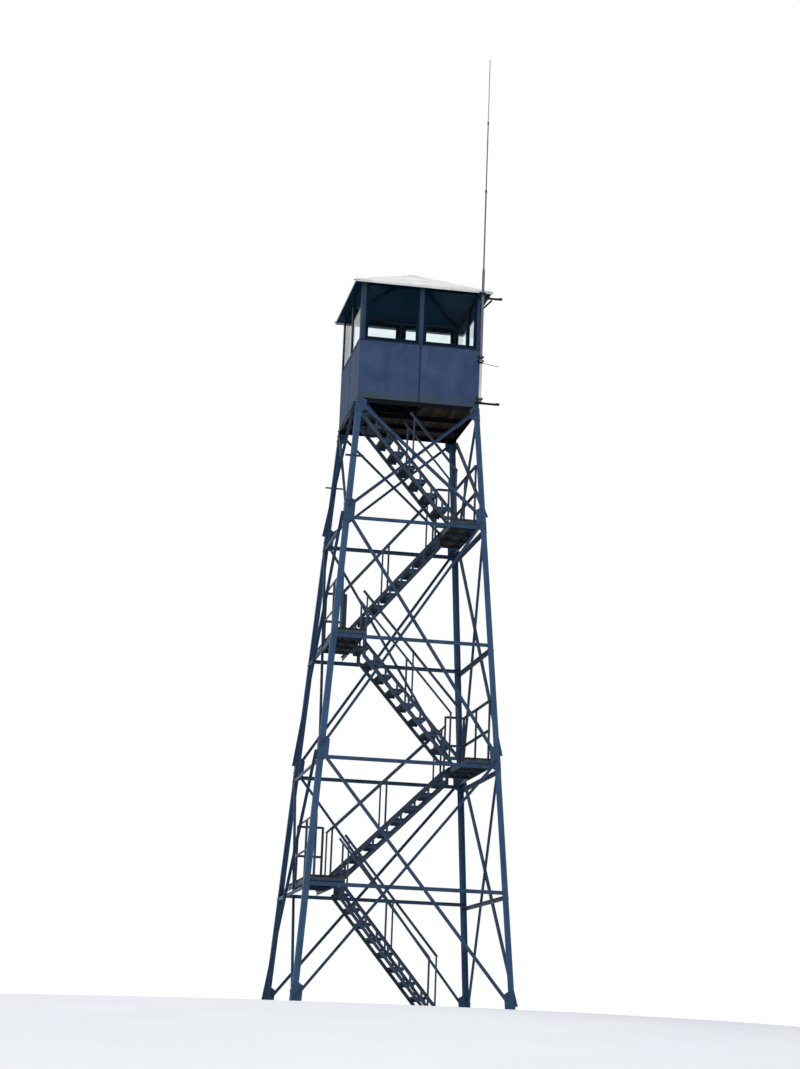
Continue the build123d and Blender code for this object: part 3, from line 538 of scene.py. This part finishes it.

# Cab floor: brown stained boards, screwed down to a frame of steel angles that sits between
# the heads of the legs. Both are coloured near black as painted shade, the floor's underside
# in shadow.
floor_wood = timber("floor_wood", (0.014, 0.011, 0.008, 1), (0.052, 0.037, 0.026, 1),
                    (0.09, 0.07, 0.05, 1), wear=0.3)
floor_steel = zinc("floor_steel", (0.003, 0.004, 0.006, 1), (0.008, 0.009, 0.012, 1), rust=0.08,
                   metal=0.1, shine=0.04)
dress(floor_wood, "cab_floor_boards")
dress(floor_steel, "cab_floor_frame")

# Cab walls, posts and rails: flat sheets screwed to corner angles, two to a side, with a
# narrow strip over the seam and a drip strip under the windows. The paint has gone a dull slate,
# its blue partly painted shade from sky light, with clouds of chalking, rain stains, and a damp
# green band along the bottom edge.
sheet_foot = 10.262
sheet_height = 1.030
seam_half = 0.016
seam_out = 0.0025
drip_foot = 11.292
drip_top = 11.317
drip_slope = 0.003
drip_out = 0.0045
rust_fleck = (0.13, 0.06, 0.032, 1)


def sheet_paint(name, dull, bright, stain, gloss=0.5, shine=0.25, shade_below=None, shade_within=None,
                foot=None):
    """Chalked paint on sheet metal. Faces that look down or inwards take the given colours of
    painted shade, and foot is the top, the bottom and the colour of a damp band."""
    material, node, join, where, shader = new_finish(name)
    cloud = spots(node, where, 2.6, 0.36, 0.66, detail=6.0)
    colour = tint(node, cloud, dull, bright)
    rain = spots(node, where, 5.0, 0.48, 0.80, stretch=(1, 1, 0.22))
    colour = tint(node, times(node, rain, 0.7), colour, stain)
    if foot:
        top, bottom, moss = foot
        split = node("ShaderNodeSeparateXYZ", {"Vector": where})
        fall = node("ShaderNodeMapRange", {
            "Value": split.outputs["Z"], "From Min": top, "From Max": bottom})
        damp = spots(node, where, 3.0, 0.30, 0.55, detail=6.0)
        colour = tint(node, times(node, fall.outputs["Result"], damp), colour, moss)
    fleck = spots(node, where, 55.0, 0.66, 0.74, detail=5.0)
    patch = spots(node, where, 2.0, 0.52, 0.70)
    colour = tint(node, times(node, patch, fleck), colour, rust_fleck)
    if shade_below:
        facing = node("ShaderNodeNewGeometry", {})
        split = node("ShaderNodeSeparateXYZ", {"Vector": facing.outputs["Normal"]})
        down = node("ShaderNodeMath", {0: split.outputs["Z"], 1: -0.3}, operation="LESS_THAN")
        colour = tint(node, down.outputs["Value"], colour, shade_below)
    if shade_within:
        facing = node("ShaderNodeNewGeometry", {})
        flat = node("ShaderNodeVectorMath", {0: where, 1: (1, 1, 0)}, operation="MULTIPLY")
        away = node("ShaderNodeVectorMath", {
            0: flat.outputs["Vector"], 1: facing.outputs["Normal"]}, operation="DOT_PRODUCT")
        inner = node("ShaderNodeMath", {0: away.outputs["Value"], 1: -0.5}, operation="LESS_THAN")
        colour = tint(node, inner.outputs["Value"], colour, shade_within)
    join(colour, "Base Color")
    rough = node("ShaderNodeMapRange", {
        "Value": cloud, "To Min": gloss, "To Max": gloss + 0.2})
    join(rough.outputs["Result"], "Roughness")
    wave = node("ShaderNodeTexNoise", {"Vector": where, "Scale": 2.2, "Detail": 2.0})
    bump = node("ShaderNodeBump", {
        "Height": wave.outputs["Fac"], "Strength": 0.35, "Distance": 0.02})
    join(bump.outputs["Normal"], "Normal")
    shader.inputs["Specular IOR Level"].default_value = shine
    return material


# The inner faces of the walls are near black: painted shade inside the cab.
wall_paint = sheet_paint(
    "wall_paint", (0.034, 0.060, 0.125, 1), (0.058, 0.094, 0.180, 1), (0.026, 0.044, 0.086, 1),
    gloss=0.6, shine=0.07, shade_within=(0.003, 0.009, 0.018, 1),
    foot=(10.46, 10.26, (0.052, 0.072, 0.074, 1)))
frame_paint = sheet_paint(
    "frame_paint", (0.018, 0.038, 0.070, 1), (0.036, 0.064, 0.106, 1), (0.010, 0.020, 0.036, 1),
    shine=0.12)
# The trim is darker than the sheets as a painted shadow of the lap seam; the drip strip takes it
# too.
trim_paint = sheet_paint(
    "trim_paint", (0.010, 0.019, 0.040, 1), (0.018, 0.032, 0.062, 1), (0.006, 0.010, 0.018, 1),
    shine=0.12)
dress(wall_paint, "cab_wall_panels")
dress(frame_paint, "cab_posts", "cab_rails")
shape = bmesh.new()
drawn(shape, [(-seam_half, 0, sheet_foot), (seam_half, 0, sheet_foot),
              (seam_half, -seam_out, sheet_foot), (-seam_half, -seam_out, sheet_foot)],
      (0, 0, sheet_height))
eased(shape, 0.0008)
seam_strip = closed(shape, "seam_strip")
shape = bmesh.new()
drawn(shape, [(-cab_half, 0, drip_foot), (-cab_half, -drip_out, drip_foot + drip_slope),
              (-cab_half, -drip_out, drip_top - drip_slope), (-cab_half, 0, drip_top)],
      (2 * cab_half, 0, 0))
eased(shape, 0.0008)
drip_strip = closed(shape, "drip_strip")
walls = [Matrix.Rotation(turn, 4, "Z") @ Matrix.Translation((0, -cab_half, 0)) for turn in turns]
fit(repeat("wall_strips", [(seam_strip, walls), (drip_strip, walls)]), trim_paint)

# Sheet screws: hexagon heads on dished washers, driven through the sheets into the angles, at
# the corners, along the seam, and along the bottom and top edges.
screw_washer_foot = 0.0080
screw_washer_rim = 0.0075
screw_washer_top = 0.0014
screw_head_radius = 0.0046
screw_head_top = 0.0056
screw_chamfer = 0.0006
screws_up = 8
corner_screw_x = 1.040
first_screw_z = 10.300
screw_pitch_z = 0.138
seam_screw_rise = 0.030
screws_along = 5
screw_pitch_x = 0.170
screw_start_x = 0.018
edge_screw_heights = (10.284, 11.270)
shape = bmesh.new()
turned(shape, 10, [(0, 0), (screw_washer_foot, 0), (screw_washer_rim, screw_washer_top),
                   (0, screw_washer_top)])
hexagon(shape, screw_head_radius, screw_washer_top, screw_head_top, screw_chamfer, screw_chamfer)
sheet_screw = closed(shape, "sheet_screw")
wall_places = []
for step in range(screws_up):
    z = first_screw_z + screw_pitch_z * step
    wall_places += [(-corner_screw_x, z, 0), (corner_screw_x, z, 0),
                    (0, z + seam_screw_rise, seam_out)]
for step in range(1, screws_along + 1):
    for side in (-1, 1):
        for z in edge_screw_heights:
            wall_places.append((side * (screw_start_x + screw_pitch_x * step), z, 0))
outward = Matrix.Rotation(math.pi / 2, 4, "X")
wall_screws = [
    wall @ Matrix.Translation((x, -out, z)) @ outward
    for wall in walls for x, z, out in wall_places
]
fit(repeat("wall_screws", [(sheet_screw, wall_screws)]), bolt_zinc)

# Windows: clear panes in dark painted sashes, two to a wall, screwed between the posts and the
# sill and head angles. Square beads, mitred at their corners, hold each pane from outside.
pane_half_x = 0.430
pane_half_z = 0.480
bead_width = 0.012
bead_depth = 0.008
pane_middle_x = 0.5135
pane_middle_z = 11.8425
pane_face = 0.0135
sash_paint = sheet_paint(
    "sash_paint", (0.001, 0.009, 0.022, 1), (0.003, 0.015, 0.034, 1), (0.002, 0.008, 0.018, 1),
    shine=0.03)
dress(sash_paint, "window_sashes")
pane, node, join, where, shader = new_finish("pane")
dust = spots(node, where, 3.0, 0.45, 0.8, detail=6.0)
film = node("ShaderNodeMapRange", {"Value": dust, "To Min": 0.02, "To Max": 0.15})
join(film.outputs["Result"], "Roughness")
join(tint(node, dust, (0.90, 0.96, 0.97, 1), (0.80, 0.85, 0.86, 1)), "Base Color")
shader.inputs["Transmission Weight"].default_value = 1.0
shader.inputs["IOR"].default_value = 1.08
dress(pane, "window_glass")
shape = bmesh.new()
whole = shape.faces.new([
    shape.verts.new((x * pane_half_x, z * pane_half_z, 0))
    for x, z in ((-1, -1), (1, -1), (1, 1), (-1, 1))])
whole.normal_update()
rim = bmesh.ops.inset_region(
    shape, faces=[whole], thickness=bead_width, use_boundary=True, use_even_offset=True)
bmesh.ops.delete(shape, geom=[whole], context="FACES")
raised = bmesh.ops.extrude_face_region(shape, geom=rim["faces"])
bmesh.ops.translate(
    shape, vec=(0, 0, bead_depth),
    verts=[item for item in raised["geom"] if isinstance(item, bmesh.types.BMVert)])
eased(shape, 0.0012)
bead = closed(shape, "bead")
beads = [
    wall @ Matrix.Translation((side * pane_middle_x, pane_face, pane_middle_z)) @ outward
    for wall in walls for side in (-1, 1)
]
fit(repeat("glazing_beads", [(bead, beads)]), sash_paint)

# Roof: four near white sheets on hip rafters, with folded caps over the hips and the peak, all
# held by the same screws as the walls. The undersides and the rafters are coloured dark blue as
# painted shade under the roof.
roof_paint = sheet_paint(
    "roof_paint", (0.66, 0.66, 0.62, 1), (0.80, 0.80, 0.77, 1), (0.50, 0.48, 0.42, 1),
    gloss=0.45, shine=0.06, shade_below=(0.002, 0.036, 0.084, 1))
rafter_wood = timber("rafter_wood", (0.001, 0.026, 0.064, 1), (0.003, 0.034, 0.078, 1),
                     (0.006, 0.036, 0.080, 1), wear=0.2)
dress(roof_paint, "roof_panels", "roof_caps")
dress(rafter_wood, "hip_rafters")
eave_half = 1.207
eave_top = 12.3489
slope = math.radians(27.0)
eave_screws_aside = 4
eave_screw_pitch = 0.240
eave_screw_rise = 0.050
hip_screws = 6
hip_screw_start = 0.090
hip_screw_pitch = 0.195
hip_screw_inset = 0.045
hip_cap_top = 0.0027
roof_places = [
    (eave_screw_pitch * step, eave_screw_rise, 0.0)
    for step in range(-eave_screws_aside, eave_screws_aside + 1)
]
for step in range(hip_screws):
    rise = hip_screw_start + hip_screw_pitch * step
    edge = eave_half - rise * math.cos(slope) - hip_screw_inset
    roof_places += [(-edge, rise, hip_cap_top), (edge, rise, hip_cap_top)]
roof_screws = [
    Matrix.Rotation(turn, 4, "Z") @ Matrix.Translation((0, -eave_half, eave_top))
    @ Matrix.Rotation(slope, 4, "X") @ Matrix.Translation(place)
    for turn in turns for place in roof_places
]
fit(repeat("roof_screws", [(sheet_screw, roof_screws)]), bolt_zinc)

# Antenna mast: a metal pipe with a jointed whip, held off the wall at the near right corner by
# three clamps. Saddles with U bolts grip the pipe over and under each clamp, a collar and two
# ferrules cover its joints, and a short earth rod stands out below the middle clamp.
mast_seat = Vector((1.040, -1.243, 0.0))
polish_foot = 10.98
polish_top = 11.12
saddle_heights = (10.340, 11.095, 12.270)
saddle_shift = 0.036
saddle_half = 0.060
saddle_half_height = 0.019
saddle_face = 0.0250
saddle_thickness = 0.0080
hoop_radius = 0.0290
hoop_rod = 0.0048
hoop_leg = 0.0460
hoop_nut_scale = 0.6
arm_metal = zinc("arm_metal", (0.004, 0.006, 0.010, 1), (0.012, 0.016, 0.024, 1), rust=0.2,
                 shine=0.10)
mast_metal, node, join, where, shader = new_finish("mast_metal")
split = node("ShaderNodeSeparateXYZ", {"Vector": where})
height = node("ShaderNodeMapRange", {
    "Value": split.outputs["Z"], "From Min": polish_foot, "From Max": polish_top})
bare = spots(node, where, 4.0, 0.40, 0.65, stretch=(1, 1, 0.4))
bright_foot = tint(node, bare, (0.46, 0.44, 0.46, 1), (0.66, 0.63, 0.64, 1))
dull_top = tint(node, bare, (0.085, 0.095, 0.135, 1), (0.150, 0.160, 0.205, 1))
colour = tint(node, height.outputs["Result"], bright_foot, dull_top)
pitting = spots(node, where, 60.0, 0.60, 0.72, detail=6.0)
join(tint(node, times(node, pitting, 0.6), colour, (0.05, 0.035, 0.03, 1)), "Base Color")
rough = node("ShaderNodeMapRange", {"Value": bare, "To Min": 0.40, "To Max": 0.60})
join(rough.outputs["Result"], "Roughness")
grained(node, join, where, 220.0, 0.2, 0.0006)
shader.inputs["Metallic"].default_value = 0.3
dress(mast_metal, "antenna_mast")
dress(arm_metal, "mast_brackets")

shape = bmesh.new()
drawn(shape, [(x * saddle_half, saddle_face, z * saddle_half_height)
              for x, z in ((-1, -1), (1, -1), (1, 1), (-1, 1))], (0, saddle_thickness, 0))
eased(shape, 0.0015)
ring = bmesh.ops.create_circle(
    shape, segments=8, radius=hoop_rod,
    matrix=Matrix.Translation((hoop_radius, 0, 0)) @ outward)["verts"]
hoop = list({edge for vert in ring for edge in vert.link_edges})
bend = bmesh.ops.spin(shape, geom=ring + hoop, cent=(0, 0, 0), axis=(0, 0, 1), angle=-math.pi,
                      steps=12, use_merge=False, use_duplicate=False)
last = [item for item in bend["geom_last"] if isinstance(item, bmesh.types.BMEdge)]
for end in (hoop, last):
    leg = bmesh.ops.extrude_edge_only(shape, edges=end)
    tips = [item for item in leg["geom"] if isinstance(item, bmesh.types.BMVert)]
    bmesh.ops.translate(shape, vec=(0, hoop_leg, 0), verts=tips)
    mouth = [item for item in leg["geom"] if isinstance(item, bmesh.types.BMEdge)
             and all(vert in tips for vert in item.verts)]
    bmesh.ops.contextual_create(shape, geom=mouth)
saddle = closed(shape, "saddle")
saddles = []
saddle_nuts = []
for z in saddle_heights:
    for shift in (-saddle_shift, saddle_shift):
        centre = Matrix.Translation(mast_seat + Vector((0, 0, z + shift)))
        saddles.append(centre)
        for x in (-hoop_radius, hoop_radius):
            seat = Matrix.Translation((x, saddle_face + saddle_thickness, 0))
            saddle_nuts.append(
                centre @ seat @ outward @ flip @ Matrix.Scale(hoop_nut_scale, 4))
fit(repeat("mast_saddles", [(saddle, saddles), (bolt_nut, saddle_nuts)]),
    arm_metal)

# Mast fittings: a collar under the pipe's middle clamp, the two ferrules of the whip, and the
# earth rod, which hangs a little below the level. They are turned from the same dark metal.
pipe_radius = 0.0245
collar_radius = 0.0310
collar_foot = 10.995
collar_top = 11.035
collar_chamfer = 0.003
ferrules = ((0.0180, 14.200), (0.0150, 15.500))
ferrule_below = 0.030
ferrule_above = 0.020
ferrule_chamfer = 0.004
rod_radius = 0.0050
rod_tip_radius = 0.0035
rod_length = 0.290
rod_height = 11.015
rod_turn = math.radians(99.0)
shape = bmesh.new()
turned(shape, 16, [(pipe_radius, collar_foot), (collar_radius, collar_foot + collar_chamfer),
                   (collar_radius, collar_top - collar_chamfer), (pipe_radius, collar_top),
                   (pipe_radius, collar_foot)])
for radius, z in ferrules:
    foot = z - ferrule_below
    top = z + ferrule_above
    turned(shape, 16, [(0, foot), (radius - 0.002, foot), (radius, foot + ferrule_chamfer),
                       (radius, top - ferrule_chamfer), (radius - 0.003, top), (0, top)])
bmesh.ops.translate(shape, vec=mast_seat, verts=shape.verts)
rod_start = len(shape.verts)
turned(shape, 10, [(0, 0), (rod_radius, 0), (rod_radius, rod_length - rod_radius),
                   (rod_tip_radius, rod_length), (0, rod_length)])
shape.verts.ensure_lookup_table()
rod_seat = Matrix.Translation(mast_seat + Vector((hoop_radius, 0, rod_height)))
lean = Matrix.Rotation(rod_turn, 4, "Y")
bmesh.ops.transform(shape, matrix=rod_seat @ lean, verts=shape.verts[rod_start:])
fit(closed(shape, "mast_fittings"), arm_metal)

# Studio floor: a plain pale knoll, level under the feet, that falls away on all sides and so
# passes below the camera. It is only a stage and no part of the tower.
knoll_reach = 90.0
level_reach = 4.5
fall_length = 30.0
knoll_drop = 2.6
knoll_steps = 40
knoll = bpy.data.meshes.new("knoll")
shape = bmesh.new()
profile = []
for step in range(knoll_steps + 1):
    reach = knoll_reach * (step / knoll_steps) ** 2
    fall = max(0.0, min(1.0, (reach - level_reach) / fall_length))
    profile.append(shape.verts.new((reach, 0, -knoll_drop * fall * fall * (3 - 2 * fall))))
edges = [shape.edges.new(pair) for pair in zip(profile, profile[1:])]
bmesh.ops.spin(shape, geom=profile + edges, cent=(0, 0, 0), axis=(0, 0, 1),
               angle=math.tau, steps=96, use_merge=True, use_duplicate=False)
bmesh.ops.remove_doubles(shape, verts=shape.verts, dist=0.0001)
bmesh.ops.recalc_face_normals(shape, faces=shape.faces)
shape.to_mesh(knoll)
shape.free()
for face in knoll.polygons:
    face.use_smooth = True
ground = bpy.data.objects.new("ground", knoll)
bpy.context.scene.collection.objects.link(ground)
pale, node, join, where, shader = new_finish("pale_floor")
join(tint(node, spots(node, where, 0.6, 0.3, 0.7), (0.80, 0.80, 0.80, 1), (0.84, 0.84, 0.84, 1)),
     "Base Color")
shader.inputs["Roughness"].default_value = 0.9
knoll.materials.append(pale)

# Soft studio light: a pale surround, a wide lamp high behind the roof and a wider one in front.
# Seen directly, in a mirror or through glass, the surround is plain white.
aim_height = 8.0
world = bpy.data.worlds.new("studio")
world.use_nodes = True
bpy.context.scene.world = world
tree = world.node_tree
back = tree.nodes["Background"]
back.inputs["Color"].default_value = (0.88, 0.92, 1.0, 1)
back.inputs["Strength"].default_value = 0.75
seen = tree.nodes.new("ShaderNodeBackground")
seen.inputs["Color"].default_value = (1, 1, 1, 1)
rays = tree.nodes.new("ShaderNodeLightPath")
either = tree.nodes.new("ShaderNodeMath")
either.operation = "MAXIMUM"
also = tree.nodes.new("ShaderNodeMath")
also.operation = "MAXIMUM"
choose = tree.nodes.new("ShaderNodeMixShader")
for source, target in (
    (rays.outputs["Is Camera Ray"], either.inputs[0]),
    (rays.outputs["Is Glossy Ray"], either.inputs[1]),
    (either.outputs[0], also.inputs[0]),
    (rays.outputs["Is Transmission Ray"], also.inputs[1]),
    (also.outputs[0], choose.inputs[0]),
    (back.outputs[0], choose.inputs[1]),
    (seen.outputs[0], choose.inputs[2]),
    (choose.outputs[0], tree.nodes["World Output"].inputs["Surface"]),
):
    tree.links.new(source, target)

for name, place, size, power in (
    ("key", (-5.0, 11.0, 33.0), 10.0, 3400.0),
    ("fill", (-6.0, -32.0, 14.0), 14.0, 2000.0),
):
    lamp_data = bpy.data.lights.new(name, "AREA")
    lamp_data.shape = "DISK"
    lamp_data.size = size
    lamp_data.energy = power
    lamp = bpy.data.objects.new(name, lamp_data)
    bpy.context.scene.collection.objects.link(lamp)
    lamp.matrix_world = (
        Matrix.Translation(place)
        @ (Vector((0, 0, aim_height)) - Vector(place)).to_track_quat("-Z", "Y")
        .to_matrix().to_4x4())

bpy.context.scene.view_settings.view_transform = "Standard"
